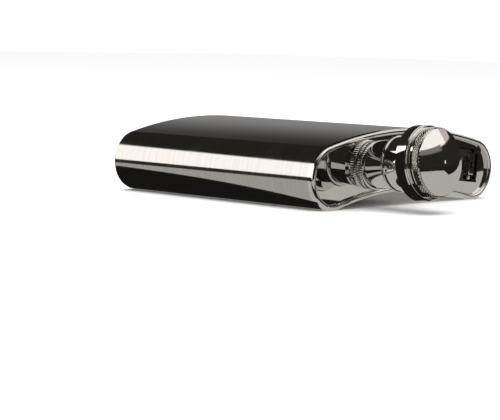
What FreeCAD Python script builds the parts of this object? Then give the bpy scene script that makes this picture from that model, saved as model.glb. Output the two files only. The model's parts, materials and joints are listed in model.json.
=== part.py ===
import FreeCAD, Part

# Kidney-section steel hip flask with a screw cap and a gas lighter in a pocket of its shoulder.
#
# The flask lies on its hollow back. Row frame: +X along the flask from base to cap, +Y across its
# width, +Z up through its thickness, origin under the middle of its overall length. Millimetres.
import math
import os

import Sketcher

os.makedirs("parts", exist_ok=True)
doc = FreeCAD.newDocument("HipFlask")

# ---------------------------------------------------------------------------------------------
# Driving dimensions
# ---------------------------------------------------------------------------------------------
DIMENSIONS = {
    # body, measured from the base's outer face along the flask
    "body_width": 94.0,          # across the two rounded sides
    "section_depth": 21.0,       # thickness of the curved section, front face to back face
    "arch_rise": 4.7,            # how far the middle of the section stands above its sides
    "body_length": 95.6,         # base to the crest of the shoulder's rolled rim
    "wall": 0.6,                 # sheet thickness of the sleeve and the lighter's pocket
    "base_thick": 1.2,
    "skirt_depth": 3.2,          # how far the end pressings reach into the sleeve
    "skirt_wall": 0.8,
    "rim_width": 1.8,            # rolled rim of the shoulder, across
    "rim_rise": 1.4,             # rim crest above the shoulder's face
    "plate_thick": 1.0,          # sheet of the shoulder's face
    "edge_round": 0.8,
    # neck, measured along its own axis from the shoulder's face
    "neck_offset": 17.0,         # neck axis from the middle of the width, towards -Y
    "neck_height": 13.95,        # neck axis above the floor where it leaves the shoulder
    "neck_lean": 5.5,            # degrees that the axis leans towards the front face
    "bore_radius": 6.0,
    "neck_radius": 7.2,
    "foot_radius": 8.35,
    "foot_thick": 1.5,
    "base_ring_radius": 8.15,
    "base_ring_top": 2.9,
    "base_ring_rise": 0.45,
    "collar_radius": 8.1,
    "collar_bottom": 4.2,
    "collar_top": 11.0,
    "thread_root": 6.6,
    "thread_crest": 7.3,
    "thread_bottom": 11.0,
    "thread_start": 13.2,
    "thread_pitch": 3.0,
    "neck_turns": 2.6,
    "cap_turns": 2.2,
    "neck_top": 24.0,
    "ring_fit": 0.02,            # radial play of the rings pressed onto the neck and the cap
    # cap, same axis and start as the neck, in its closed place
    "cap_bottom": 11.4,
    "lip_radius": 9.25,
    "lip_top": 13.0,
    "skirt_radius": 8.95,
    "skirt_bore": 8.15,
    "step_height": 19.6,         # where the cap widens from its skirt to its head
    "head_radius": 10.9,
    "head_bore": 10.1,
    "head_top": 28.4,
    "band_radius": 12.3,         # plain band round the head
    "band_top": 24.3,
    "bead_radius": 12.1,
    "bead_top": 24.9,
    "bead_rise": 0.25,
    "plain_radius": 11.4,
    "plain_top": 26.3,
    "crown_radius": 11.4,        # knurled ring
    "dome_radius": 10.8,
    "dome_edge": 0.5,
    "dome_rise": 2.1,
    "liner_radius": 8.1,
    "liner_bore": 7.45,
    "liner_crest": 6.8,
    "liner_bottom": 12.4,
    "seal_radius": 7.3,
    "seal_top": 25.4,
    "liner_top": 26.6,
    # lighter pocket, in the window's own frame on the shoulder's face
    "window_y": 27.6,            # window centre from the middle of the width
    "window_z": 12.7,            # window centre above the floor
    "window_tilt": 6.0,          # degrees that the window follows the curve of the section
    "pocket_long": 25.5,
    "pocket_high": 12.6,
    "pocket_depth": 43.6,
    "pocket_round": 0.8,
    "lip_width": 0.5,
    "lip_thick": 0.5,
    # lighter, same frame; depths are counted down from the shoulder's face
    "lighter_long": 23.9,
    "lighter_high": 11.0,
    "lighter_round": 1.6,
    "tank_bottom": 42.2,
    "tank_top": 12.0,
    "tank_wall": 0.8,
    "tray_top": 3.2,
    "tray_wall": 0.75,
    "tray_floor": 1.2,
    "plug_depth": 2.5,
    "deck_thick": 1.0,
    "wheel_y": 4.2,
    "wheel_depth": 4.2,
    "wheel_radius": 3.3,
    "thumb_radius": 3.6,
    "wheel_half": 1.6,
    "thumb_half": 2.8,
    "axle_radius": 0.7,
    "axle_fit": 0.05,
    "cheek_gap": 3.0,
    "cheek_thick": 0.5,
    "flint_radius": 1.2,
    "flint_top": 7.55,
    "flint_bottom": 13.0,
    "flint_tube_radius": 1.7,
    "flint_tube_bore": 1.25,
    "flint_tube_top": 8.2,
    "flint_wire": 0.25,
    "screw_top": 33.0,
    "jet_y": 9.7,
    "jet_z": 0.3,
    "jet_radius": 0.6,
    "jet_bore": 0.25,
    "jet_top": 1.3,
    "jet_collar": 1.4,
    "jet_collar_top": 6.1,
    "jet_collar_bottom": 6.8,
    "valve_radius": 1.35,
    "valve_chamber": 1.0,
    "valve_bottom": 17.4,
    "piston_radius": 0.95,
    "hood_long": 3.0,
    "hood_bottom": 3.2,          # hood's reach below and above the pocket's middle line
    "hood_top": 4.2,
    "hood_wall": 0.4,
    "hood_y": 9.9,
    "hood_crest": 0.4,
    "pin_y": -0.5,
    "pin_depth": 7.2,
    "pin_radius": 0.5,
    "pad_left": 10.4,
    "pad_right": 1.3,
    "pad_half": 4.5,
    "pad_top": 1.0,
    "arm_gap": 3.75,
    "spring_y": -7.5,
    "spring_radius": 1.4,
    "spring_wire": 0.35,
    "knob_radius": 0.8,
    "knob_z": 4.3,
    "adjuster_ring": 1.4,
    "adjuster_depth": 5.0,       # underside of the adjuster's ring and arm
    "adjuster_thick": 0.8,
    "adjuster_post": 0.35,
    "filler_y": -6.0,
    "filler_radius": 2.4,
}

sheet = doc.addObject("Spreadsheet::Sheet", "Sizes")
for row, (alias, value) in enumerate(DIMENSIONS.items(), start=1):
    sheet.set("A%d" % row, alias)
    sheet.set("B%d" % row, str(value))
    sheet.setAlias("B%d" % row, alias)
doc.recompute()


class Length:
    """A size that carries both its value and the formula that gives it from the sheet."""

    def __init__(self, value, formula):
        self.value = value
        self.formula = formula

    def __add__(self, other):
        other = length(other)
        return Length(self.value + other.value, "(%s + %s)" % (self.formula, other.formula))

    def __sub__(self, other):
        other = length(other)
        return Length(self.value - other.value, "(%s - %s)" % (self.formula, other.formula))

    def __mul__(self, other):
        other = length(other)
        return Length(self.value * other.value, "(%s * %s)" % (self.formula, other.formula))

    def __truediv__(self, other):
        other = length(other)
        return Length(self.value / other.value, "(%s / %s)" % (self.formula, other.formula))

    def __neg__(self):
        return Length(-self.value, "(0 - %s)" % self.formula)

    __radd__ = __add__

    def __rsub__(self, other):
        return length(other) - self


def length(number):
    """A plain number as a Length."""
    if isinstance(number, Length):
        return number
    return Length(float(number), "%.6g" % number)


def root(amount):
    return Length(math.sqrt(amount.value), "sqrt(%s)" % amount.formula)


def cosine(degrees):
    return Length(math.cos(math.radians(degrees.value)), "cos(%s * 1deg)" % degrees.formula)


def sine(degrees):
    return Length(math.sin(math.radians(degrees.value)), "sin(%s * 1deg)" % degrees.formula)


class Sizes:
    """The sheet's cells as Lengths: sizes.body_width and so on."""

    def __getattr__(self, alias):
        return Length(float(sheet.get(alias)), "Sizes." + alias)


sizes = Sizes()

# ---------------------------------------------------------------------------------------------
# Sketches and features
# ---------------------------------------------------------------------------------------------
PLANES = {"width": "YZ_Plane", "axis": "XZ_Plane", "side": "XY_Plane"}


def new_body(label):
    body = doc.addObject("PartDesign::Body", label)
    body.Label = label
    return body


def new_sketch(body, plane, offset):
    """An empty sketch on one of the body's own planes, moved along the plane's normal."""
    role = PLANES[plane]
    origin_plane = [item for item in body.Origin.OriginFeatures if item.Role == role][0]
    sketch = body.newObject("Sketcher::SketchObject", body.Label + "_sketch")
    sketch.AttachmentSupport = [(origin_plane, "")]
    sketch.MapMode = "FlatFace"
    offset = length(offset)
    sketch.AttachmentOffset = FreeCAD.Placement(FreeCAD.Vector(0, 0, offset.value), FreeCAD.Rotation())
    sketch.setExpression("AttachmentOffset.Base.z", offset.formula)
    return sketch


def fix_point(sketch, item, end, across, up):
    """Hold one end of a sketched line or arc at a place given by two Lengths."""
    for kind, axis, value in (("DistanceX", -2, across), ("DistanceY", -1, up)):
        if abs(value.value) < 1e-9:
            sketch.addConstraint(Sketcher.Constraint("PointOnObject", item, end, axis))
            continue
        if value.value > 0:
            held = sketch.addConstraint(Sketcher.Constraint(kind, -1, 1, item, end, value.value))
            sketch.setExpression("Constraints[%d]" % held, value.formula)
        else:
            held = sketch.addConstraint(Sketcher.Constraint(kind, item, end, -1, 1, -value.value))
            sketch.setExpression("Constraints[%d]" % held, (-value).formula)


def outline(body, plane, offset, points):
    """A closed sketch through the points.

    A point is (across, up), reached by a line, or (across, up, radius), reached by an arc of that
    radius, which curves to the left of the way there, or to the right if the radius is negative.
    """
    sketch = new_sketch(body, plane, offset)
    corners = []
    for point in points:
        corners.append([length(value) for value in point])
    ends = []
    for index, corner in enumerate(corners):
        before = corners[index - 1]
        start = FreeCAD.Vector(before[0].value, before[1].value, 0)
        stop = FreeCAD.Vector(corner[0].value, corner[1].value, 0)
        if len(corner) == 2:
            item = sketch.addGeometry(Part.LineSegment(start, stop))
            ends.append((item, 1, 2))
            continue
        radius = corner[2].value
        half = (stop - start).Length / 2
        rise = abs(radius) - math.sqrt(max(radius * radius - half * half, 0))
        way = (stop - start).normalize()
        side = FreeCAD.Vector(way.y, -way.x, 0) * math.copysign(rise, radius)
        arc = Part.Arc(start, (start + stop) / 2 + side, stop)
        item = sketch.addGeometry(arc)
        held = sketch.addConstraint(Sketcher.Constraint("Radius", item, abs(radius)))
        formula = corner[2].formula if radius > 0 else (-corner[2]).formula
        sketch.setExpression("Constraints[%d]" % held, formula)
        begins = sketch.getPoint(item, 1)
        forward = begins.distanceToPoint(start) < begins.distanceToPoint(stop)
        ends.append((item, 1, 2) if forward else (item, 2, 1))
    for index, corner in enumerate(corners):
        item, first, last = ends[index]
        following = ends[(index + 1) % len(ends)]
        sketch.addConstraint(Sketcher.Constraint("Coincident", item, last, following[0], following[1]))
        fix_point(sketch, item, last, corner[0], corner[1])
    return sketch


def circle(body, plane, offset, across, up, radius):
    sketch = new_sketch(body, plane, offset)
    across, up, radius = length(across), length(up), length(radius)
    centre = FreeCAD.Vector(across.value, up.value, 0)
    item = sketch.addGeometry(Part.Circle(centre, FreeCAD.Vector(0, 0, 1), radius.value))
    fix_point(sketch, item, 3, across, up)
    held = sketch.addConstraint(Sketcher.Constraint("Radius", item, radius.value))
    sketch.setExpression("Constraints[%d]" % held, radius.formula)
    return sketch


def feature(body, kind, sketch, amount, both_ways=False, reversed_way=False):
    """A Pad or a Pocket of a sketch."""
    item = body.newObject("PartDesign::" + kind, body.Label + "_" + kind.lower())
    item.Profile = sketch
    amount = length(amount)
    item.Length = amount.value
    item.setExpression("Length", amount.formula)
    item.Midplane = both_ways
    item.Reversed = reversed_way
    return item


def pad(body, sketch, amount, both_ways=False):
    return feature(body, "Pad", sketch, amount, both_ways)


def pocket(body, sketch, amount, both_ways=False, reversed_way=False):
    return feature(body, "Pocket", sketch, amount, both_ways, reversed_way)


def revolve(body, sketch):
    """Turn a sketch on the axis plane about the body's own Z axis."""
    item = body.newObject("PartDesign::Revolution", body.Label + "_revolution")
    item.Profile = sketch
    item.ReferenceAxis = (sketch, ["V_Axis"])
    item.Angle = 360
    return item


def helix(body, sketch, pitch, turns):
    """Sweep a sketch on the axis plane along a right-handed screw about the body's Z axis."""
    item = body.newObject("PartDesign::AdditiveHelix", body.Label + "_helix")
    item.Profile = sketch
    item.ReferenceAxis = (sketch, ["V_Axis"])
    item.Mode = "pitch-turns-angle"
    pitch, turns = length(pitch), length(turns)
    item.Pitch = pitch.value
    item.Turns = turns.value
    item.setExpression("Pitch", pitch.formula)
    item.setExpression("Turns", turns.formula)
    return item


def round_edges(body, flat_at, radius):
    """Round every edge that lies in the plane X = flat_at of the body's last feature."""
    doc.recompute()
    base = body.Tip
    names = []
    for index, edge in enumerate(base.Shape.Edges, start=1):
        box = edge.BoundBox
        if abs(box.XMin - flat_at.value) < 1e-4 and abs(box.XMax - flat_at.value) < 1e-4:
            names.append("Edge%d" % index)
    item = body.newObject("PartDesign::Fillet", body.Label + "_fillet")
    item.Base = (base, names)
    item.Radius = radius.value
    item.setExpression("Radius", radius.formula)
    return item


def polar(body, cut, count):
    """Repeat one feature evenly round the body's Z axis."""
    doc.recompute()
    z_axis = [item for item in body.Origin.OriginFeatures if item.Role == "Z_Axis"][0]
    pattern = body.newObject("PartDesign::PolarPattern", body.Label + "_pattern")
    pattern.Originals = [cut]
    pattern.Axis = (z_axis, [""])
    pattern.Angle = 360
    pattern.Occurrences = count
    body.Tip = pattern
    return pattern


def ring(label, frame, inner, outer, bottom, top, bevel):
    """A turned ring with a bevel on its two outer edges."""
    body = new_body(label)
    revolve(body, outline(body, "axis", 0, [
        (inner, bottom),
        (outer - bevel, bottom),
        (outer, bottom + bevel),
        (outer, top - bevel),
        (outer - bevel, top),
        (inner, top),
    ]))
    return place(body, frame)


def coil(label, frame, radius, wire, bottom, top, turns):
    """A round-wire compression spring between two heights."""
    body = new_body(label)
    bottom, top, wire = length(bottom), length(top), length(wire)
    sketch = circle(body, "axis", 0, radius, bottom + wire / 2, wire / 2)
    helix(body, sketch, (top - bottom - wire) / turns, turns)
    return place(body, frame)


# ---------------------------------------------------------------------------------------------
# Outlines
# ---------------------------------------------------------------------------------------------
def kidney(inset):
    """The body's cross-section, Y across and Z up, moved inwards by inset.

    Two arcs share one centre below the floor, and a half circle closes each side in two arcs.
    """
    side = sizes.section_depth / 2
    reach = sizes.body_width / 2 - side
    bend = (reach * reach + sizes.arch_rise * sizes.arch_rise) / (sizes.arch_rise * 2)
    centre = side + sizes.arch_rise - bend
    slope_y = reach / bend
    slope_z = (bend - sizes.arch_rise) / bend
    front = bend + side - inset
    back = bend - side + inset
    return [
        (-(front * slope_y), centre + front * slope_z, -(side - inset)),
        (front * slope_y, centre + front * slope_z, -front),
        (reach + side - inset, side, -(side - inset)),
        (back * slope_y, centre + back * slope_z, -(side - inset)),
        (-(back * slope_y), centre + back * slope_z, back),
        (-(reach + side - inset), side, -(side - inset)),
    ]


def rounded(long, high, corner, centre_y=0, centre_z=0):
    """A rectangle with round corners, long across and high up."""
    long, high, corner = length(long), length(high), length(corner)
    left = centre_y - long / 2
    right = centre_y + long / 2
    low = centre_z - high / 2
    top = centre_z + high / 2
    return [
        (left + corner, low),
        (right - corner, low),
        (right, low + corner, corner),
        (right, top - corner),
        (right - corner, top, corner),
        (left + corner, top),
        (left, top - corner, corner),
        (left, low + corner),
        (left + corner, low, corner),
    ][1:]


def rectangle(left, right, low, top):
    return [(left, low), (right, low), (right, top), (left, top)]


# ---------------------------------------------------------------------------------------------
# Places
# ---------------------------------------------------------------------------------------------
face_u = sizes.body_length - sizes.rim_rise        # shoulder's face, from the base
apex = sizes.head_top + sizes.dome_edge + sizes.dome_rise
dome_bend = (
    (sizes.dome_radius * sizes.dome_radius + sizes.dome_rise * sizes.dome_rise) / (sizes.dome_rise * 2)
)
overall = face_u + dome_bend + (apex - dome_bend) * cosine(sizes.neck_lean)
base_x = -(overall / 2)
face_x = base_x + face_u

OUTWARDS = FreeCAD.Rotation(FreeCAD.Vector(0, 1, 0), 90)     # turns a body's Z to the row's X


def at(x, y, z, turn=FreeCAD.Rotation()):
    x, y, z = length(x), length(y), length(z)
    return FreeCAD.Placement(FreeCAD.Vector(x.value, y.value, z.value), turn)


lean_back = FreeCAD.Rotation(FreeCAD.Vector(0, 1, 0), -sizes.neck_lean.value)
window_turn = FreeCAD.Rotation(FreeCAD.Vector(1, 0, 0), -sizes.window_tilt.value)
BODY = at(base_x, 0, 0)
FACE = at(face_x, -sizes.neck_offset, sizes.neck_height, OUTWARDS)
NECK = at(face_x, -sizes.neck_offset, sizes.neck_height, lean_back.multiply(OUTWARDS))
WINDOW = at(face_x, sizes.window_y, sizes.window_z, window_turn)


def in_window(y, z):
    """Frame of a round piece of the lighter: Z points out of the pocket."""
    return WINDOW.multiply(at(0, y, z, OUTWARDS))


nodes = []


def place(item, frame):
    item.Placement = frame
    nodes.append(item)
    return item


# ---------------------------------------------------------------------------------------------
# Body
# ---------------------------------------------------------------------------------------------
def build_sleeve():
    body = new_body("body_sleeve")
    long = face_u - sizes.plate_thick - sizes.base_thick
    pad(body, outline(body, "width", sizes.base_thick, kidney(length(0))), long)
    pocket(body, outline(body, "width", sizes.base_thick + long, kidney(sizes.wall)), long)
    place(body, BODY)


def add_skirt(body, low, high):
    """The collar of an end pressing that fits inside the sleeve, between two distances."""
    outer = sizes.wall + sizes.ring_fit
    pad(body, outline(body, "width", low, kidney(outer)), high - low)
    return outer + sizes.skirt_wall


def build_base():
    body = new_body("base_plate")
    pad(body, outline(body, "width", 0, kidney(length(0))), sizes.base_thick)
    round_edges(body, length(0), sizes.edge_round)
    top = sizes.base_thick + sizes.skirt_depth
    inner = add_skirt(body, sizes.base_thick, top)
    pocket(body, outline(body, "width", top, kidney(inner)), sizes.skirt_depth)
    place(body, BODY)


def build_shoulder():
    body = new_body("shoulder")
    back = face_u - sizes.plate_thick
    low = back - sizes.skirt_depth
    pad(body, outline(body, "width", back, kidney(length(0))), sizes.plate_thick + sizes.rim_rise)
    pocket(body, outline(body, "width", sizes.body_length, kidney(sizes.rim_width)), sizes.rim_rise)
    round_edges(body, sizes.body_length, sizes.edge_round)
    inner = add_skirt(body, low, back)
    pocket(body, outline(body, "width", low, kidney(inner)), sizes.skirt_depth, reversed_way=True)
    neck_hole = sizes.neck_radius + 0.15
    pocket(body, circle(body, "width", face_u, -sizes.neck_offset, sizes.neck_height, neck_hole),
           sizes.plate_thick)
    half_long = sizes.pocket_long / 2 + 0.05
    half_high = sizes.pocket_high / 2 + 0.05
    corners = []
    for across, up in ((-half_long, -half_high), (half_long, -half_high), (half_long, half_high),
                       (-half_long, half_high)):
        turn_cos = cosine(sizes.window_tilt)
        turn_sin = sine(sizes.window_tilt)
        corners.append((sizes.window_y + across * turn_cos + up * turn_sin,
                        sizes.window_z - across * turn_sin + up * turn_cos))
    pocket(body, outline(body, "width", face_u, corners), sizes.plate_thick)
    place(body, BODY)


# ---------------------------------------------------------------------------------------------
# Neck
# ---------------------------------------------------------------------------------------------
def thread(body, root_radius, crest_radius, start, half_root, half_crest, turns):
    """A screw ridge that stands from root_radius to crest_radius."""
    sketch = outline(body, "axis", 0, [
        (root_radius, start - half_root),
        (crest_radius, start - half_crest),
        (crest_radius, start + half_crest),
        (root_radius, start + half_root),
    ])
    helix(body, sketch, sizes.thread_pitch, turns)


def build_neck_tube():
    body = new_body("neck_tube")
    foot_top = -(sizes.plate_thick + sizes.foot_radius * sine(sizes.neck_lean) + 0.05)
    revolve(body, outline(body, "axis", 0, [
        (sizes.bore_radius, foot_top - sizes.foot_thick),
        (sizes.foot_radius, foot_top - sizes.foot_thick),
        (sizes.foot_radius, foot_top),
        (sizes.neck_radius, foot_top),
        (sizes.neck_radius, sizes.thread_bottom),
        (sizes.thread_root, sizes.thread_bottom),
        (sizes.thread_root, sizes.neck_top - 0.3),
        (sizes.thread_root - 0.3, sizes.neck_top),
        (sizes.bore_radius, sizes.neck_top),
    ]))
    thread(body, sizes.thread_root - 0.1, sizes.thread_crest, sizes.thread_start, 0.85, 0.35,
           sizes.neck_turns)
    place(body, NECK)


def bead(label, frame, inner, outer, bottom, top, rise):
    """A ring whose outside is one round bead."""
    body = new_body(label)
    half = (top - bottom) / 2
    bend = (half * half + rise * rise) / (rise * 2)
    revolve(body, outline(body, "axis", 0, [
        (inner, bottom),
        (outer - rise, bottom),
        (outer - rise, top, bend),
        (inner, top),
    ]))
    place(body, frame)


def build_neck_rings():
    slack = sizes.base_ring_top * sine(sizes.neck_lean) + 0.05
    bead("neck_base_ring", FACE, sizes.neck_radius + slack, sizes.base_ring_radius, sizes.ring_fit,
         sizes.base_ring_top, sizes.base_ring_rise)
    ring("neck_collar", NECK, sizes.neck_radius + sizes.ring_fit, sizes.collar_radius,
         sizes.collar_bottom, sizes.collar_top, 0.3)


# ---------------------------------------------------------------------------------------------
# Cap
# ---------------------------------------------------------------------------------------------
def build_cap_shell():
    body = new_body("cap_shell")
    revolve(body, outline(body, "axis", 0, [
        (sizes.skirt_bore, sizes.cap_bottom),
        (sizes.lip_radius - 0.6, sizes.cap_bottom),
        (sizes.skirt_radius, sizes.lip_top, 0.95),
        (sizes.skirt_radius, sizes.step_height - 0.6),
        (sizes.head_radius, sizes.step_height),
        (sizes.head_radius, sizes.head_top),
        (sizes.head_bore, sizes.head_top),
        (sizes.head_bore, sizes.step_height + 0.8),
        (sizes.skirt_bore, sizes.step_height + 0.2),
    ]))
    place(body, NECK)


def build_cap_rings():
    inner = sizes.head_radius + sizes.ring_fit
    ring("cap_wide_band", NECK, inner, sizes.band_radius, sizes.step_height + 0.4, sizes.band_top, 0.3)
    bead("cap_bead", NECK, inner, sizes.bead_radius, sizes.band_top, sizes.bead_top, sizes.bead_rise)
    ring("cap_plain_band", NECK, inner, sizes.plain_radius, sizes.bead_top, sizes.plain_top, 0.15)
    ring("cap_crown_ring", NECK, inner, sizes.crown_radius, sizes.plain_top, sizes.head_top, 0.2)


def build_cap_dome():
    body = new_body("cap_dome")
    plug = sizes.head_bore - sizes.ring_fit
    revolve(body, outline(body, "axis", 0, [
        (0, sizes.head_top - 1.2),
        (plug, sizes.head_top - 1.2),
        (plug, sizes.head_top),
        (sizes.dome_radius, sizes.head_top),
        (sizes.dome_radius, sizes.head_top + sizes.dome_edge),
        (0, apex, dome_bend),
    ]))
    place(body, NECK)


def build_cap_liner():
    body = new_body("cap_liner")
    flange = sizes.head_bore - sizes.ring_fit
    roof = sizes.seal_top + sizes.ring_fit
    revolve(body, outline(body, "axis", 0, [
        (sizes.liner_bore, sizes.liner_bottom),
        (sizes.liner_radius, sizes.liner_bottom),
        (sizes.liner_radius, roof),
        (flange, roof),
        (flange, sizes.liner_top),
        (0, sizes.liner_top),
        (0, roof),
        (sizes.liner_bore, roof),
    ]))
    thread(body, sizes.liner_bore + 0.1, sizes.liner_crest,
           sizes.thread_start + sizes.thread_pitch / 2, 0.75, 0.3, sizes.cap_turns)
    place(body, NECK)


def build_cap_seal():
    seal = doc.addObject("Part::Cylinder", "cap_seal")
    seal.Label = "cap_seal"
    seal.setExpression("Radius", sizes.seal_radius.formula)
    seal.setExpression("Height", (sizes.seal_top - sizes.neck_top - sizes.ring_fit).formula)
    place(seal, NECK.multiply(at(0, 0, sizes.neck_top + sizes.ring_fit)))


# ---------------------------------------------------------------------------------------------
# Lighter pocket and lighter: depths are below the shoulder's face
# ---------------------------------------------------------------------------------------------
def build_pocket():
    body = new_body("lighter_pocket")
    lip = sizes.lip_width * 2
    pad(body, outline(body, "width", -sizes.pocket_depth,
                      rounded(sizes.pocket_long, sizes.pocket_high, sizes.pocket_round)),
        sizes.pocket_depth)
    pad(body, outline(body, "width", 0, rounded(sizes.pocket_long + lip, sizes.pocket_high + lip,
                                                sizes.pocket_round + sizes.lip_width)), sizes.lip_thick)
    walls = sizes.wall * 2
    pocket(body, outline(body, "width", sizes.lip_thick,
                         rounded(sizes.pocket_long - walls, sizes.pocket_high - walls, 0.3)),
           sizes.pocket_depth + sizes.lip_thick - sizes.wall)
    place(body, WINDOW)


def lighter_block(body, bottom, top):
    """A block with the lighter's outline between two depths."""
    pad(body, outline(body, "width", -bottom, rounded(sizes.lighter_long, sizes.lighter_high,
                                                      sizes.lighter_round)), bottom - top)


def hollow_block(body, wall, top, deep):
    """Hollow that block from its top, leaving a wall."""
    walls = wall * 2
    pocket(body, outline(body, "width", -top, rounded(sizes.lighter_long - walls, sizes.lighter_high - walls,
                                                      sizes.lighter_round - wall)), deep)


def build_tank():
    body = new_body("lighter_tank")
    lighter_block(body, sizes.tank_bottom, sizes.tank_top)
    floor = sizes.tank_wall * 1.5
    hollow_block(body, sizes.tank_wall, sizes.tank_top, sizes.tank_bottom - sizes.tank_top - floor)
    inside = -(sizes.tank_bottom - floor)
    flint_hole = sizes.flint_tube_radius + sizes.ring_fit
    filler_hole = sizes.filler_radius + sizes.ring_fit
    pocket(body, circle(body, "width", inside, sizes.wheel_y, 0, flint_hole), floor)
    pocket(body, circle(body, "width", inside, sizes.filler_y, 0, filler_hole), floor)
    place(body, WINDOW)


def build_tray():
    """The lighter's upper housing: an open box with a plug that closes the tank."""
    body = new_body("lighter_tray")
    lighter_block(body, sizes.tank_top, sizes.tray_top)
    floor_depth = sizes.tank_top - sizes.tray_floor
    hollow_block(body, sizes.tray_wall, sizes.tray_top, floor_depth - sizes.tray_top)
    play = sizes.tank_wall * 2 + 0.1
    pad(body, outline(body, "width", -(sizes.tank_top + sizes.plug_depth),
                      rounded(sizes.lighter_long - play, sizes.lighter_high - play, 0.7)), sizes.plug_depth)
    deep = sizes.tray_floor + sizes.plug_depth
    flint_hole = sizes.flint_tube_radius + sizes.ring_fit
    valve_hole = sizes.valve_radius + sizes.ring_fit
    pocket(body, circle(body, "width", -floor_depth, sizes.wheel_y, 0, flint_hole), deep)
    pocket(body, circle(body, "width", -floor_depth, sizes.jet_y, sizes.jet_z, valve_hole), deep)
    pocket(body, circle(body, "side", 0, -sizes.pin_depth, sizes.pin_y, sizes.pin_radius + sizes.ring_fit),
           sizes.lighter_high + 2, both_ways=True)
    place(body, WINDOW)


def build_deck():
    body = new_body("lighter_deck")
    top = sizes.tray_top - sizes.deck_thick
    lighter_block(body, sizes.tray_top, top)
    wheel_side = sizes.thumb_radius + 0.25
    wheel_half = sizes.thumb_half + 0.3
    knob_low = -(sizes.knob_z + 0.55)
    cuts = [
        rectangle(sizes.wheel_y - wheel_side, sizes.wheel_y + wheel_side, -wheel_half, wheel_half),
        rectangle(-(sizes.pad_left + 0.7), -(sizes.pad_right - 0.2), -(sizes.pad_half + 0.15),
                  sizes.pad_half + 0.15),
        rectangle(sizes.jet_y - 1.65, sizes.jet_y + 1.65, knob_low, knob_low + 1.15),
    ]
    for cut in cuts:
        pocket(body, outline(body, "width", -top, cut), sizes.deck_thick)
    jet_hole = sizes.jet_radius + 0.35
    pocket(body, circle(body, "width", -top, sizes.jet_y, sizes.jet_z, jet_hole), sizes.deck_thick)
    place(body, WINDOW)


def build_bracket():
    """The sheet-metal fork that carries the striker wheel."""
    body = new_body("wheel_bracket")
    bottom = sizes.tank_top - sizes.tray_floor
    top = sizes.tray_top + 0.05
    left = sizes.wheel_y - 2
    right = sizes.wheel_y + 2
    outer = sizes.cheek_gap + sizes.cheek_thick
    pad(body, outline(body, "width", -bottom, rectangle(left, right, -outer, outer)), bottom - top)
    between = rectangle(left - 1, right + 1, -sizes.cheek_gap, sizes.cheek_gap)
    pocket(body, outline(body, "width", -top, between), bottom - top - sizes.cheek_thick)
    pocket(body, circle(body, "width", -(bottom - sizes.cheek_thick), sizes.wheel_y, 0,
                        sizes.flint_tube_radius + sizes.ring_fit), sizes.cheek_thick)
    axle_hole = sizes.axle_radius + sizes.ring_fit
    pocket(body, circle(body, "side", 0, -sizes.wheel_depth, sizes.wheel_y, axle_hole), outer * 2 + 1,
           both_ways=True)
    place(body, WINDOW)


def cross_pin(label, radius, half_long, y, depth):
    """A plain pin across the lighter, through both of its sides."""
    pin = doc.addObject("Part::Cylinder", label)
    pin.Label = label
    pin.setExpression("Radius", radius.formula)
    pin.setExpression("Height", (half_long * 2).formula)
    place(pin, WINDOW.multiply(at(-depth, y, -half_long)))


def notched_wheel(label, radius, low, high, notches, notch_deep):
    """A disc about the wheel's axle with notches round its edge."""
    body = new_body(label)
    disc = circle(body, "side", low, 0, 0, radius)
    pad(body, disc, high - low)
    doc.recompute()
    half_wide = radius * math.pi / notches * 0.6
    notch = outline(body, "side", high, [
        (radius - notch_deep, 0),
        (radius + 0.4, -(half_wide * 1.6)),
        (radius + 0.4, half_wide * 1.6),
    ])
    cut = pocket(body, notch, high - low)
    polar(body, cut, notches)
    bore = pocket(body, circle(body, "side", high, 0, 0, sizes.axle_radius + sizes.axle_fit), high - low)
    body.Tip = bore
    place(body, WINDOW.multiply(at(-sizes.wheel_depth, sizes.wheel_y, 0)))


def build_flint_gear():
    frame = in_window(sizes.wheel_y, length(0))
    flint = doc.addObject("Part::Cylinder", "flint")
    flint.Label = "flint"
    flint.setExpression("Radius", sizes.flint_radius.formula)
    flint.setExpression("Height", (sizes.flint_bottom - sizes.flint_top).formula)
    place(flint, frame.multiply(at(0, 0, -sizes.flint_bottom)))
    ring("flint_tube", frame, sizes.flint_tube_bore, sizes.flint_tube_radius, -sizes.tank_bottom,
         -sizes.flint_tube_top, 0.1)
    coil("flint_spring", frame, sizes.flint_radius - sizes.flint_wire, sizes.flint_wire, -sizes.screw_top,
         -sizes.flint_bottom, 15)
    screw = new_body("flint_screw")
    head_top = -(sizes.tank_bottom + 0.05)
    head_bottom = head_top - 0.6
    revolve(screw, outline(screw, "axis", 0, [
        (0, head_bottom),
        (2.2, head_bottom),
        (2.2, head_top),
        (sizes.flint_tube_bore - 0.05, head_top),
        (sizes.flint_tube_bore - 0.05, -(sizes.screw_top + 0.05)),
        (0, -(sizes.screw_top + 0.05)),
    ]))
    slot = rectangle(-2.4, 2.4, -0.3, 0.3)
    pocket(screw, outline(screw, "side", head_bottom, slot), 0.35, reversed_way=True)
    place(screw, frame)


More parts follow.
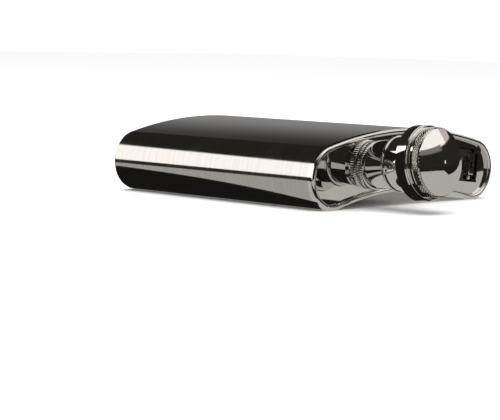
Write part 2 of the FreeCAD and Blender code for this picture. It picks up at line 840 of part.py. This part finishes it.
def build_valve():
    frame = in_window(sizes.jet_y, sizes.jet_z)
    jet = new_body("jet_nozzle")
    piston_bottom = -(sizes.valve_bottom - 1.2)
    revolve(jet, outline(jet, "axis", 0, [
        (sizes.jet_bore, piston_bottom),
        (sizes.piston_radius, piston_bottom),
        (sizes.piston_radius, piston_bottom + 1),
        (sizes.jet_radius, piston_bottom + 1),
        (sizes.jet_radius, -sizes.jet_collar_bottom),
        (sizes.jet_collar, -sizes.jet_collar_bottom),
        (sizes.jet_collar, -sizes.jet_collar_top),
        (sizes.jet_radius, -sizes.jet_collar_top),
        (sizes.jet_radius, -sizes.jet_top),
        (sizes.jet_bore, -sizes.jet_top),
    ]))
    place(jet, frame)
    body = new_body("valve_body")
    roof = -(sizes.tank_top - 0.5)
    top = -(sizes.tank_top - sizes.tray_floor - 0.5)
    revolve(body, outline(body, "axis", 0, [
        (0.5, -sizes.valve_bottom),
        (sizes.valve_radius, -sizes.valve_bottom),
        (sizes.valve_radius, top),
        (sizes.jet_radius + 0.05, top),
        (sizes.jet_radius + 0.05, roof),
        (sizes.valve_chamber, roof),
        (sizes.valve_chamber, 0.8 - sizes.valve_bottom),
        (0.5, 0.8 - sizes.valve_bottom),
    ]))
    place(body, frame)
    coil("valve_spring", frame, sizes.jet_radius + 0.18, length(0.2), piston_bottom + 1.05, roof - 0.05, 6)


def build_hood():
    body = new_body("burner_hood")
    high = sizes.hood_bottom + sizes.hood_top
    centre_z = (sizes.hood_top - sizes.hood_bottom) / 2
    seat = sizes.tray_top - sizes.deck_thick
    deep = seat - sizes.hood_crest
    outside = rounded(sizes.hood_long, high, 0.5, sizes.hood_y, centre_z)
    pad(body, outline(body, "width", -seat, outside), deep)
    walls = sizes.hood_wall * 2
    pocket(body, outline(body, "width", -sizes.hood_crest,
                         rounded(sizes.hood_long - walls, high - walls, 0.2, sizes.hood_y, centre_z)), deep)
    place(body, WINDOW)


def build_adjuster():
    """The flame adjuster: a ring about the jet with an arm, and a ball on a post for the fingertip."""
    body = new_body("flame_adjuster")
    bottom = sizes.adjuster_depth
    thick = sizes.adjuster_thick
    reach = sizes.knob_z + sizes.jet_z
    pad(body, circle(body, "width", -bottom, 0, 0, sizes.adjuster_ring), thick)
    arm = rectangle(-sizes.adjuster_post, sizes.adjuster_post, -(reach + 0.1), -1.2)
    pad(body, outline(body, "width", -bottom, arm), thick)
    pad(body, circle(body, "width", -bottom, 0, -reach, sizes.adjuster_post), bottom - 2.1)
    pocket(body, circle(body, "width", -bottom + thick, 0, 0, sizes.jet_radius + 0.15), thick)
    place(body, WINDOW.multiply(at(0, sizes.jet_y, sizes.jet_z)))
    knob = new_body("adjuster_knob")
    flat = length(0.6)
    flat_radius = root(sizes.knob_radius * sizes.knob_radius - flat * flat)
    revolve(knob, outline(knob, "axis", 0, [
        (0, -flat),
        (flat_radius, -flat),
        (sizes.knob_radius, 0, sizes.knob_radius),
        (0, sizes.knob_radius, sizes.knob_radius),
    ]))
    place(knob, in_window(sizes.jet_y, -sizes.knob_z).multiply(at(0, 0, -1.5)))


def build_lever():
    """The gas lever: a thumb pad, and two arms past the wheel to a fork under the jet's collar."""
    body = new_body("thumb_lever")
    underside = sizes.pad_top + 2.6
    fork_top = sizes.jet_collar_bottom + 0.1
    fork_bottom = fork_top + 1.1
    fork_end = sizes.jet_y + 0.9
    block = length(3.6)
    pad(body, outline(body, "side", 0, [
        (-sizes.pad_top, -sizes.pad_left),
        (-underside, -sizes.pad_left),
        (-underside, -block),
        (-fork_bottom, -block),
        (-fork_bottom, fork_end),
        (-fork_top, fork_end),
        (-fork_top, 0.6),
        (-(underside + 1.6), -sizes.pad_right),
        (-sizes.pad_top, -sizes.pad_right),
    ]), sizes.pad_half * 2, both_ways=True)
    pocket(body, outline(body, "width", -fork_top + 2, rectangle(0.4, sizes.jet_y - 0.9, -sizes.arm_gap,
                                                             sizes.arm_gap)), 4)
    pocket(body, circle(body, "width", -fork_top, sizes.jet_y, sizes.jet_z, sizes.jet_radius + 0.25), 2)
    pocket(body, circle(body, "side", 0, -sizes.pin_depth, sizes.pin_y, sizes.pin_radius + sizes.axle_fit),
           sizes.pad_half * 3, both_ways=True)
    round_edges(body, -sizes.pad_top, length(0.5))
    place(body, WINDOW)


def build_filler():
    body = new_body("filler_valve")
    frame = in_window(sizes.filler_y, length(0))
    bottom = -(sizes.tank_bottom + 0.4)
    revolve(body, outline(body, "axis", 0, [
        (0.5, bottom),
        (sizes.filler_radius, bottom),
        (sizes.filler_radius, bottom + 3),
        (1.2, bottom + 3),
        (1.2, bottom + 5),
        (0.5, bottom + 5),
    ]))
    place(body, frame)


def build_lighter():
    build_pocket()
    build_tank()
    build_tray()
    build_deck()
    build_bracket()
    cross_pin("wheel_axle", sizes.axle_radius, sizes.cheek_gap + sizes.cheek_thick, sizes.wheel_y,
              sizes.wheel_depth)
    notched_wheel("striker_wheel", sizes.wheel_radius, -sizes.wheel_half, sizes.wheel_half, 40, 0.3)
    notched_wheel("thumb_rim_near", sizes.thumb_radius, -sizes.thumb_half, -sizes.wheel_half, 24, 0.35)
    notched_wheel("thumb_rim_far", sizes.thumb_radius, sizes.wheel_half, sizes.thumb_half, 24, 0.35)
    build_flint_gear()
    build_valve()
    build_hood()
    build_adjuster()
    build_lever()
    cross_pin("lever_pin", sizes.pin_radius, sizes.lighter_high / 2 - 0.1, sizes.pin_y, sizes.pin_depth)
    coil("lever_spring", in_window(sizes.spring_y, length(0)), sizes.spring_radius, sizes.spring_wire,
         -(sizes.tank_top - sizes.tray_floor - 0.05), -(sizes.pad_top + 2.65), 5)
    build_filler()


def check_document():
    """Stop if any object failed or any sub-part has no valid solid."""
    for item in doc.Objects:
        for word in item.State:
            if word in ("Invalid", "Error"):
                raise RuntimeError("%s is in state %s" % (item.Label, word))
    for node in nodes:
        if node.Shape.isNull() or not node.Shape.isValid() or len(node.Shape.Solids) != 1:
            raise RuntimeError("%s is not one valid solid" % node.Label)


build_sleeve()
build_base()
build_shoulder()
build_neck_tube()
build_neck_rings()
build_cap_shell()
build_cap_rings()
build_cap_dome()
build_cap_liner()
build_cap_seal()
build_lighter()
doc.recompute()
check_document()
for node in nodes:
    node.Shape.exportStep("parts/%s.step" % node.Label)
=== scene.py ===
# The looks of the hip flask: finishes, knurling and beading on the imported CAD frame, and its stage.

import json
import math

import bmesh
import bpy
from mathutils import Matrix, Vector

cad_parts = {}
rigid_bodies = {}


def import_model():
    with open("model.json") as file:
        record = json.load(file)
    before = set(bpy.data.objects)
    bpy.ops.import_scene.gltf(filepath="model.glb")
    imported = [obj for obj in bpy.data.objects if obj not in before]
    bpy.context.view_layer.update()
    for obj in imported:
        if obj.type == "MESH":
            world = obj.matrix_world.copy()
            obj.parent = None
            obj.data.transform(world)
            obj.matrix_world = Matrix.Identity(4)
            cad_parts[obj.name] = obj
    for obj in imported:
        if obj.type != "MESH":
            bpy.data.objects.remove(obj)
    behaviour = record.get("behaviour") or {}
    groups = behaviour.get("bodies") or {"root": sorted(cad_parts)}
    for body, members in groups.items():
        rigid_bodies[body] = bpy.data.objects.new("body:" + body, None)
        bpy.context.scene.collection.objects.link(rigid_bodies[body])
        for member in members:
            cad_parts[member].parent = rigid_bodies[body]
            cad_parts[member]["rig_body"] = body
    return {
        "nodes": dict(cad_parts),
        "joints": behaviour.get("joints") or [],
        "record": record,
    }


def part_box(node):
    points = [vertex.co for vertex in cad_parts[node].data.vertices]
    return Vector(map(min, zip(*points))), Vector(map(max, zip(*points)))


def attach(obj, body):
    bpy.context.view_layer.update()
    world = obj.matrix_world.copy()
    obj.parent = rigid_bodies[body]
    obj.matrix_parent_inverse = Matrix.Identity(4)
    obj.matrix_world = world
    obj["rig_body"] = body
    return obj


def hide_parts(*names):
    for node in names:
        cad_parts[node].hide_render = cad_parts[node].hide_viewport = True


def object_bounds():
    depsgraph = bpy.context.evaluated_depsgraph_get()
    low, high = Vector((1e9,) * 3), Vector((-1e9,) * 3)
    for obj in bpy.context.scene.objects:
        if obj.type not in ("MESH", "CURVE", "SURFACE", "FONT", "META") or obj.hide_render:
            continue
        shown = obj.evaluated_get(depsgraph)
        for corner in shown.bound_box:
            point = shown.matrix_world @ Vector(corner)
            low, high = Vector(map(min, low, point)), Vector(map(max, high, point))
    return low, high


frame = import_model()
CAD_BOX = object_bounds()

MM = 0.001
NODES = frame["nodes"]
JOINTS = {joint["name"]: joint for joint in frame["joints"]}
SLOT_OF = {part["node"]: part["material_slot"] for part in frame["record"]["subparts"]}


# ---------------------------------------------------------------------------------------------
# Places read from the frame
# ---------------------------------------------------------------------------------------------
def axis_frame(origin, axis):
    """A matrix whose local Z runs along the axis and whose local Y runs across the flask's width."""
    along = Vector(axis).normalized()
    side = Vector((0, 1, 0))
    down = side.cross(along).normalized()
    matrix = Matrix((down, side, along)).transposed().to_4x4()
    matrix.translation = Vector(origin)
    return matrix


NECK = axis_frame(JOINTS["cap_turn"]["pos_m"], JOINTS["cap_turn"]["axis"])
FACE = axis_frame(JOINTS["cap_turn"]["pos_m"], (1, 0, 0))     # square to the shoulder's face


def stations(node, matrix):
    """Inner and outer radius, and lowest and highest station, of a node about an axis frame."""
    local = matrix.inverted()
    points = [local @ vertex.co for vertex in NODES[node].data.vertices]
    radii = [math.hypot(point.x, point.y) for point in points]
    heights = [point.z for point in points]
    return min(radii), max(radii), min(heights), max(heights)


# ---------------------------------------------------------------------------------------------
# Materials
# ---------------------------------------------------------------------------------------------
NOISE_LOW = 0.3                # the range that noise mostly stays in
NOISE_HIGH = 0.7


class Finish:
    """A node material in the object's own metres, with helpers for its fine detail."""

    def __init__(self, name, colour, metallic, roughness):
        self.material = bpy.data.materials.new(name)
        self.material.use_nodes = True
        self.tree = self.material.node_tree
        self.shader = self.tree.nodes["Principled BSDF"]
        self.shader.inputs["Metallic"].default_value = metallic
        self.colour = colour
        self.roughness = roughness
        self.place = self.tree.nodes.new("ShaderNodeTexCoord").outputs["Object"]

    def noise(self, per_metre, detail):
        """Noise with its own number of cycles per metre along X, Y and Z."""
        stretch = self.tree.nodes.new("ShaderNodeMapping")
        stretch.inputs["Scale"].default_value = per_metre
        texture = self.tree.nodes.new("ShaderNodeTexNoise")
        texture.inputs["Scale"].default_value = 1.0
        texture.inputs["Detail"].default_value = detail
        self.tree.links.new(self.place, stretch.inputs["Vector"])
        self.tree.links.new(stretch.outputs["Vector"], texture.inputs["Vector"])
        return texture.outputs["Fac"]

    def scaled(self, value, low, high):
        """Noise spread over another range."""
        spread = self.tree.nodes.new("ShaderNodeMapRange")
        spread.inputs["From Min"].default_value = NOISE_LOW
        spread.inputs["From Max"].default_value = NOISE_HIGH
        spread.inputs["To Min"].default_value = low
        spread.inputs["To Max"].default_value = high
        self.tree.links.new(value, spread.inputs["Value"])
        return spread.outputs["Result"]

    def tinted(self, value, darker, lighter):
        """Varies the colour's brightness with noise."""
        ramp = self.tree.nodes.new("ShaderNodeMix")
        ramp.data_type = "RGBA"
        low = [channel * darker for channel in self.colour]
        high = [channel * lighter for channel in self.colour]
        ramp.inputs["A"].default_value = (*low, 1)
        ramp.inputs["B"].default_value = (*high, 1)
        self.tree.links.new(self.scaled(value, 0.0, 1.0), ramp.inputs["Factor"])
        self.tree.links.new(ramp.outputs["Result"], self.shader.inputs["Base Color"])

    def roughened(self, value, spread):
        """Varies the roughness about its middle with noise."""
        result = self.scaled(value, self.roughness - spread, self.roughness + spread)
        self.tree.links.new(result, self.shader.inputs["Roughness"])

    def bumped(self, value, height):
        """Raises the surface by a height in metres where the noise is 1."""
        bump = self.tree.nodes.new("ShaderNodeBump")
        bump.inputs["Strength"].default_value = 1.0
        bump.inputs["Distance"].default_value = height
        self.tree.links.new(value, bump.inputs["Height"])
        self.tree.links.new(bump.outputs["Normal"], self.shader.inputs["Normal"])


def brushed_steel():
    """Bare stainless sheet, its fine grain running round the section, with faint rub marks."""
    finish = Finish("body_steel", (0.62, 0.605, 0.585), 1.0, 0.085)
    grain = finish.noise((3200, 55, 55), detail=3.0)
    wear = finish.noise((70, 45, 45), detail=4.0)
    finish.tinted(grain, 0.93, 1.04)
    finish.roughened(wear, 0.035)
    finish.bumped(grain, 0.0035 * MM)
    return finish.material


def polished_steel(name="polished_steel", colour=(0.80, 0.785, 0.76), roughness=0.035):
    """Mirror-polished stainless with light smudges and hairline scratches."""
    finish = Finish(name, colour, 1.0, roughness)
    smudge = finish.noise((130, 130, 130), detail=4.0)
    hairline = finish.noise((260, 2600, 260), detail=2.0)
    finish.tinted(smudge, 0.96, 1.02)
    finish.roughened(smudge, 0.02)
    finish.bumped(hairline, 0.0004 * MM)
    return finish.material


def knurled_steel():
    """Polished steel with patches of soil."""
    finish = Finish("knurled_steel", (0.72, 0.70, 0.65), 1.0, 0.09)
    soil = finish.noise((420, 420, 420), detail=3.0)
    finish.tinted(soil, 0.82, 1.05)
    finish.roughened(soil, 0.05)
    finish.bumped(soil, 0.004 * MM)
    return finish.material


def moulded(name, colour, roughness):
    """Moulded plastic or rubber with a fine grain and dulled patches."""
    finish = Finish(name, colour, 0.0, roughness)
    grain = finish.noise((1800, 1800, 1800), detail=2.0)
    patch = finish.noise((160, 160, 160), detail=3.0)
    finish.tinted(patch, 0.75, 1.2)
    finish.roughened(patch, 0.08)
    finish.bumped(grain, 0.01 * MM)
    return finish.material


def turned(name, colour, roughness, dark=0.85):
    """Turned or drawn metal with close tool marks, one after another along the flask's length."""
    finish = Finish(name, colour, 1.0, roughness)
    marks = finish.noise((4500, 160, 160), detail=2.0)
    tarnish = finish.noise((300, 300, 300), detail=4.0)
    finish.tinted(tarnish, dark, 1.05)
    finish.roughened(tarnish, 0.06)
    finish.bumped(marks, 0.004 * MM)
    return finish.material


MATERIALS = {
    "body_steel": brushed_steel(),
    "polished_steel": polished_steel(),
    "knurled_steel": knurled_steel(),
    "liner_plastic": moulded("liner_plastic", (0.82, 0.80, 0.75), 0.45),
    "seal_rubber": moulded("seal_rubber", (0.70, 0.68, 0.64), 0.6),
    "lighter_black": moulded("lighter_black", (0.022, 0.021, 0.020), 0.38),
    "lighter_chrome": polished_steel("lighter_chrome", (0.82, 0.82, 0.81), 0.06),
    "striker_steel": turned("striker_steel", (0.17, 0.165, 0.16), 0.33),
    "small_steel": turned("small_steel", (0.52, 0.51, 0.50), 0.25),
    "brass": turned("brass", (0.74, 0.55, 0.27), 0.22),
    "flint_alloy": turned("flint_alloy", (0.24, 0.23, 0.22), 0.6, dark=0.6),
}


def wear_material(piece, slot):
    piece.data.materials.clear()
    piece.data.materials.append(MATERIALS[slot])


for node_name, node_object in NODES.items():
    wear_material(node_object, SLOT_OF[node_name])
    for polygon in node_object.data.polygons:
        polygon.material_index = 0


# ---------------------------------------------------------------------------------------------
# Pieces with finer relief than the CAD solids
# ---------------------------------------------------------------------------------------------
def lathe(name, rings, matrix, slant=None):
    """A closed ring of faces through rings of (radius, station) points about an axis frame.

    slant(row, column) says which way a face is folded: True, False, or None for a plain quad.
    """
    mesh = bmesh.new()
    grid = []
    for ring in rings:
        row = []
        for column, (radius, station) in enumerate(ring):
            angle = 2 * math.pi * column / len(ring)
            local = Vector((radius * math.cos(angle), radius * math.sin(angle), station))
            row.append(mesh.verts.new(matrix @ local))
        grid.append(row)
    for row, near in enumerate(grid):
        above = grid[(row + 1) % len(grid)]
        for column in range(len(near)):
            beside = (column + 1) % len(near)
            fold = slant(row, column) if slant else None
            if fold is None:
                mesh.faces.new((near[column], near[beside], above[beside], above[column]))
            elif fold:
                mesh.faces.new((near[column], near[beside], above[beside]))
                mesh.faces.new((near[column], above[beside], above[column]))
            else:
                mesh.faces.new((near[column], near[beside], above[column]))
                mesh.faces.new((near[beside], above[beside], above[column]))
    data = bpy.data.meshes.new(name)
    bmesh.ops.recalc_face_normals(mesh, faces=mesh.faces)
    mesh.to_mesh(data)
    mesh.free()
    piece = bpy.data.objects.new(name, data)
    bpy.context.scene.collection.objects.link(piece)
    return piece


def finish_piece(piece, node, smooth=False):
    """Gives a new piece the body, slot and finish of the node that it stands in for."""
    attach(piece, NODES[node]["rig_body"])
    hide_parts(node)
    wear_material(piece, SLOT_OF[node])
    for polygon in piece.data.polygons:
        polygon.use_smooth = smooth


STEPS = 4                      # grid steps in half a diamond's width
DIAMOND_FLAT = 0.25            # share of a diamond's half width that is left flat on top
CLEAR = 0.01 * MM              # how far the new rings stay inside the CAD ones


def diamond_offset(row, column):
    """How far a grid point lies from the nearest diamond's middle, in half diamonds each way."""
    choices = []
    for shift in (0, 1):
        along = (column / STEPS - shift + 1) % 2 - 1
        across = (row / STEPS - shift + 1) % 2 - 1
        choices.append((along, across))
    return min(choices, key=lambda offset: abs(offset[0]) + abs(offset[1]))


def knurled_ring(node, diamonds_round, diamond_rows, depth, edge):
    """A ring whose rim is cut with crossed grooves, which leave rows of flat-topped diamonds."""
    inner, outer, low, high = stations(node, NECK)
    outer -= CLEAR
    columns = diamonds_round * 2 * STEPS
    rim_rows = diamond_rows * 2 * STEPS
    root = outer - depth

    def rim(row, column):
        along, across = diamond_offset(row, column)
        rise = (1 - abs(along) - abs(across)) / (1 - DIAMOND_FLAT)
        return root + depth * max(0.0, min(rise, 1.0))

    rings = [[(inner, low)] * columns, [(root, low)] * columns]
    first_rim = len(rings)
    for row in range(rim_rows + 1):
        station = low + edge + (high - low - 2 * edge) * row / rim_rows
        rings.append([(rim(row, column), station) for column in range(columns)])
    rings += [[(root, high)] * columns, [(inner, high)] * columns]

    def slant(row, column):
        if not first_rim <= row < first_rim + rim_rows:
            return None
        along, across = diamond_offset(row - first_rim + 0.5, column + 0.5)
        return along * across < 0

    finish_piece(lathe(node + "_knurling", rings, NECK, slant), node)


def beaded_ring(node, matrix, beads, depth):
    """A rounded ring whose crest is pressed into a row of beads."""
    inner, outer, low, high = stations(node, matrix)
    outer -= CLEAR
    rows = 10
    columns_per_bead = 8
    middle = (low + high) / 2
    half = (high - low) / 2
    rings = []
    for row in range(rows + 1):
        turn = math.pi * row / rows
        ring = []
        for column in range(beads * columns_per_bead):
            between = 0.5 - 0.5 * math.cos(2 * math.pi * column / columns_per_bead)
            crest = outer - inner - depth * between * math.sin(turn)
            ring.append((inner + crest * math.sin(turn), middle - half * math.cos(turn)))
        rings.append(ring)
    finish_piece(lathe(node + "_beading", rings, matrix), node, smooth=True)


knurled_ring("cap_crown_ring", diamonds_round=58, diamond_rows=2, depth=0.3 * MM, edge=0.15 * MM)
beaded_ring("neck_base_ring", FACE, beads=64, depth=0.12 * MM)


# ---------------------------------------------------------------------------------------------
# Stage: pale floor, soft light, and what the polished metal mirrors
# ---------------------------------------------------------------------------------------------
PALE_FLOOR = (0.95, 0.95, 0.95, 1)
MIRRORED_FLOOR = (0.50, 0.49, 0.465, 1)     # what the metal sees where the floor is
FLOOR_HALF = 3.0                            # metres from the middle to each edge
CARD_TINT = (1, 0.97, 0.93, 1)
SHADE = 0.012                               # glow of the darkest cards
DARK_ROOM = 0.016
DIM_FLOOR = 0.03
OVER_FLOOR = 0.2 * MM                       # height of the cards that lie on the floor
OVER_CARDS = 0.4 * MM


def flat_face(name, corners):
    """One flat face with an empty node material. Gives the piece and the material's tree."""
    data = bpy.data.meshes.new(name)
    data.from_pydata(corners, [], [list(range(len(corners)))])
    piece = bpy.data.objects.new(name, data)
    bpy.context.scene.collection.objects.link(piece)
    material = bpy.data.materials.new(name)
    material.use_nodes = True
    material.node_tree.nodes.clear()
    data.materials.append(material)
    return piece, material.node_tree


def card(name, corners, strength):
    """A flat glowing card that only the metal's reflections see."""
    piece, tree = flat_face(name, corners)
    glow = tree.nodes.new("ShaderNodeEmission")
    glow.inputs["Color"].default_value = CARD_TINT
    glow.inputs["Strength"].default_value = strength
    out = tree.nodes.new("ShaderNodeOutputMaterial")
    tree.links.new(glow.outputs["Emission"], out.inputs["Surface"])
    piece.visible_camera = False
    piece.visible_diffuse = False
    piece.visible_shadow = False
    piece.visible_transmission = False


def floor_card(name, outline, height, strength):
    """A card that lies just over the floor."""
    card(name, [(x, y, height) for x, y in outline], strength)


def standing_card(name, start, end, low, high, strength):
    """An upright card between two places on the floor."""
    card(name, [(*start, low), (*end, low), (*end, high), (*start, high)], strength)


def floor():
    """A wide floor that is matt and pale to the camera, and one flat colour to the metal."""
    piece, tree = flat_face("floor", [(-FLOOR_HALF, -FLOOR_HALF, 0), (FLOOR_HALF, -FLOOR_HALF, 0),
                                      (FLOOR_HALF, FLOOR_HALF, 0), (-FLOOR_HALF, FLOOR_HALF, 0)])
    matt = tree.nodes.new("ShaderNodeBsdfDiffuse")
    matt.inputs["Color"].default_value = PALE_FLOOR
    mirrored = tree.nodes.new("ShaderNodeEmission")
    mirrored.inputs["Color"].default_value = MIRRORED_FLOOR
    rays = tree.nodes.new("ShaderNodeLightPath")
    choice = tree.nodes.new("ShaderNodeMixShader")
    out = tree.nodes.new("ShaderNodeOutputMaterial")
    tree.links.new(rays.outputs["Is Glossy Ray"], choice.inputs["Fac"])
    tree.links.new(matt.outputs["BSDF"], choice.inputs[1])
    tree.links.new(mirrored.outputs["Emission"], choice.inputs[2])
    tree.links.new(choice.outputs["Shader"], out.inputs["Surface"])


def dark_cards():
    """Dark cards on and over the floor, where the photographed metal mirrors something dark."""
    side_y = CAD_BOX[0].y
    base_x = CAD_BOX[0].x
    face_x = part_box("shoulder")[1].x

    # the shade under and beside the flask, wider at its base end
    mat_start, mat_end, mat_far = base_x - 20 * MM, face_x - 3 * MM, side_y + 50 * MM
    floor_card("mirror_mat",
               [(mat_start, side_y - 17.6 * MM), (mat_end, side_y + 3.5 * MM),
                (mat_end, mat_far), (mat_start, mat_far)],
               OVER_FLOOR, SHADE)
    # the dim floor beyond the flask's near side, out to the horizon
    dim_end = 0.2
    floor_card("mirror_line",
               [(-FLOOR_HALF, side_y - FLOOR_HALF), (dim_end, side_y - FLOOR_HALF),
                (dim_end, side_y - 53 * MM), (-0.5, side_y - 30 * MM)],
               OVER_FLOOR, DIM_FLOOR)
    # the dark room past the neck end, round from the far side to the near side
    floor_card("mirror_dark",
               [(0.10, FLOOR_HALF), (0.108, 0.150), (0.114, 0.068), (0.20, 0.135), (0.24, 0.10),
                (0.24, -0.04), (0.2, -0.17), (0.2, -FLOOR_HALF), (FLOOR_HALF, -FLOOR_HALF),
                (FLOOR_HALF, FLOOR_HALF)],
               OVER_FLOOR, DARK_ROOM)
    # the dark strip of floor that the cap's near side mirrors
    floor_card("mirror_strip",
               [(0.068, -0.012), (0.068, -0.030), (-0.052, -0.150), (-0.061, -0.142),
                (0.038, -0.043), (0.044, -0.012)],
               OVER_CARDS, SHADE)
    # the flag beside the shoulder that keeps the white card out of the cap
    standing_card("mirror_flag", (0.0328, -0.0468), (0.048, -0.062), 0.0, 36 * MM, SHADE)
    # the flag over the shoulder's edge that keeps the white card out of the neck
    standing_card("mirror_block", (0.0308, -0.046), (0.0308, -0.012), 18 * MM, 32 * MM, SHADE)


class Sky:
    """World light by direction: a pale room for the camera, and soft cards for the metal.

    Bearings and heights are in degrees, bearings from +X towards +Y.
    """

    def __init__(self):
        world = bpy.data.worlds.new("studio")
        world.use_nodes = True
        bpy.context.scene.world = world
        self.tree = world.node_tree
        self.tree.nodes.clear()
        direction = self.tree.nodes.new("ShaderNodeTexCoord").outputs["Generated"]
        parts = self.tree.nodes.new("ShaderNodeSeparateXYZ")
        self.tree.links.new(direction, parts.inputs["Vector"])
        self.bearing = self.math("ARCTAN2", parts.outputs["Y"], parts.outputs["X"])
        self.height = self.math("ARCSINE", parts.outputs["Z"])
        self.colour = None

    def math(self, operation, *values):
        node = self.tree.nodes.new("ShaderNodeMath")
        node.operation = operation
        for socket, value in zip(node.inputs, values):
            if isinstance(value, (int, float)):
                socket.default_value = value
            else:
                self.tree.links.new(value, socket)
        return node.outputs["Value"]

    def step(self, value, start, end):
        """Rises smoothly from 0 at start to 1 at end, both in degrees."""
        node = self.tree.nodes.new("ShaderNodeMapRange")
        node.interpolation_type = "SMOOTHSTEP"
        node.inputs["From Min"].default_value = math.radians(start)
        node.inputs["From Max"].default_value = math.radians(end)
        self.tree.links.new(value, node.inputs["Value"])
        return node.outputs["Result"]

    def away(self, bearing):
        """Angle round the horizon from a bearing in degrees, always positive."""
        turned_by = self.math("SUBTRACT", self.bearing, math.radians(bearing))
        wrapped = self.math("WRAP", turned_by, math.pi, -math.pi)
        return self.math("ABSOLUTE", wrapped)

    def base(self, low_colour, high_colour, start, end):
        mix = self.tree.nodes.new("ShaderNodeMix")
        mix.data_type = "RGBA"
        mix.inputs["A"].default_value = (*low_colour, 1)
        mix.inputs["B"].default_value = (*high_colour, 1)
        self.tree.links.new(self.step(self.height, start, end), mix.inputs["Factor"])
        self.colour = mix.outputs["Result"]

    def card(self, bearing, half_width, low, high, colour, soft_side, soft_low, soft_high):
        """Lays a soft-edged patch of colour over what is there already."""
        across = self.step(self.away(bearing), half_width + soft_side, half_width - soft_side)
        above = self.step(self.height, low - soft_low, low + soft_low)
        below = self.step(self.height, high + soft_high, high - soft_high)
        mask = self.math("MULTIPLY", self.math("MULTIPLY", across, above), below)
        mix = self.tree.nodes.new("ShaderNodeMix")
        mix.data_type = "RGBA"
        mix.inputs["B"].default_value = (*colour, 1)
        self.tree.links.new(mask, mix.inputs["Factor"])
        self.tree.links.new(self.colour, mix.inputs["A"])
        self.colour = mix.outputs["Result"]

    def finish(self, room):
        """The camera and matt surfaces see a plain pale room, and mirrors see the cards."""
        rays = self.tree.nodes.new("ShaderNodeLightPath")
        mix = self.tree.nodes.new("ShaderNodeMix")
        mix.data_type = "RGBA"
        mix.inputs["A"].default_value = (*room, 1)
        self.tree.links.new(rays.outputs["Is Glossy Ray"], mix.inputs["Factor"])
        self.tree.links.new(self.colour, mix.inputs["B"])
        back = self.tree.nodes.new("ShaderNodeBackground")
        out = self.tree.nodes.new("ShaderNodeOutputWorld")
        self.tree.links.new(mix.outputs["Result"], back.inputs["Color"])
        self.tree.links.new(back.outputs["Background"], out.inputs["Surface"])


def sky():
    room = Sky()
    room.base(low_colour=(0.50, 0.49, 0.47), high_colour=(0.022, 0.020, 0.017), start=-5.2, end=-4.0)
    # the pale wall far behind the flask, seen in its top face
    room.card(bearing=146, half_width=46, low=-3, high=17, colour=(0.26, 0.255, 0.25),
              soft_side=10, soft_low=3, soft_high=9)
    # the tall white card on the near side, seen in the rounded side
    room.card(bearing=226, half_width=50, low=0.5, high=35, colour=(1.55, 1.52, 1.48),
              soft_side=6, soft_low=1, soft_high=1.6)
    # the white card past the neck end, seen in the top of the dome
    room.card(bearing=34, half_width=26, low=17, high=72, colour=(1.12, 1.10, 1.05),
              soft_side=1.5, soft_low=1, soft_high=6)
    # the warm edge beside it, and the strip under it
    room.card(bearing=67, half_width=7, low=17, high=60, colour=(0.62, 0.55, 0.54),
              soft_side=1.5, soft_low=1, soft_high=6)
    room.card(bearing=26, half_width=22, low=13.5, high=19, colour=(0.22, 0.19, 0.185),
              soft_side=3, soft_low=1, soft_high=0.7)
    # the high white card over the far side and the ceiling, seen in the shoulder's upper edge
    room.card(bearing=98, half_width=24, low=24, high=62, colour=(0.95, 0.93, 0.90),
              soft_side=2, soft_low=2, soft_high=4)
    room.card(bearing=0, half_width=200, low=56, high=100, colour=(0.75, 0.735, 0.71),
              soft_side=3, soft_low=4, soft_high=2)
    room.finish(room=(1.0, 1.0, 1.0))


def key_light():
    """One large soft light overhead that the metal doesn't mirror."""
    side = 1.2
    watts = 9.0
    data = bpy.data.lights.new("overhead", "AREA")
    data.shape = "RECTANGLE"
    data.size = side
    data.size_y = side
    data.energy = watts
    light = bpy.data.objects.new("overhead", data)
    light.location = (-0.15, -0.1, 0.9)
    light.visible_glossy = False
    light.visible_camera = False
    bpy.context.scene.collection.objects.link(light)


CAMERA_BEARING = 44.3          # degrees round the flask from the near side towards the neck end
CAMERA_HEIGHT = 5.6            # degrees above the floor
CAMERA_ROLL = 1.23             # degrees, right-hand side up
CAMERA_DISTANCE = 0.6075       # metres from the aim
CAMERA_AIM = Vector((-0.0047, -0.0367, -0.0029))
CAMERA_LENS = 130.0
NEAREST_SEEN = 10 * MM


def camera():
    bearing = math.radians(CAMERA_BEARING)
    height = math.radians(CAMERA_HEIGHT)
    back = Vector((math.sin(bearing) * math.cos(height), -math.cos(bearing) * math.cos(height),
                   math.sin(height)))
    level = Vector((math.cos(bearing), math.sin(bearing), 0))
    right = Matrix.Rotation(math.radians(CAMERA_ROLL), 3, back) @ level
    up = back.cross(right)
    data = bpy.data.cameras.new("camera")
    data.lens = CAMERA_LENS
    data.clip_start = NEAREST_SEEN
    view = bpy.data.objects.new("camera", data)
    view.matrix_world = Matrix((right, up, back)).transposed().to_4x4()
    view.location = CAMERA_AIM + back * CAMERA_DISTANCE
    bpy.context.scene.collection.objects.link(view)
    bpy.context.scene.camera = view


bpy.context.scene.view_settings.view_transform = "Standard"
floor()
dark_cards()
sky()
key_light()
camera()
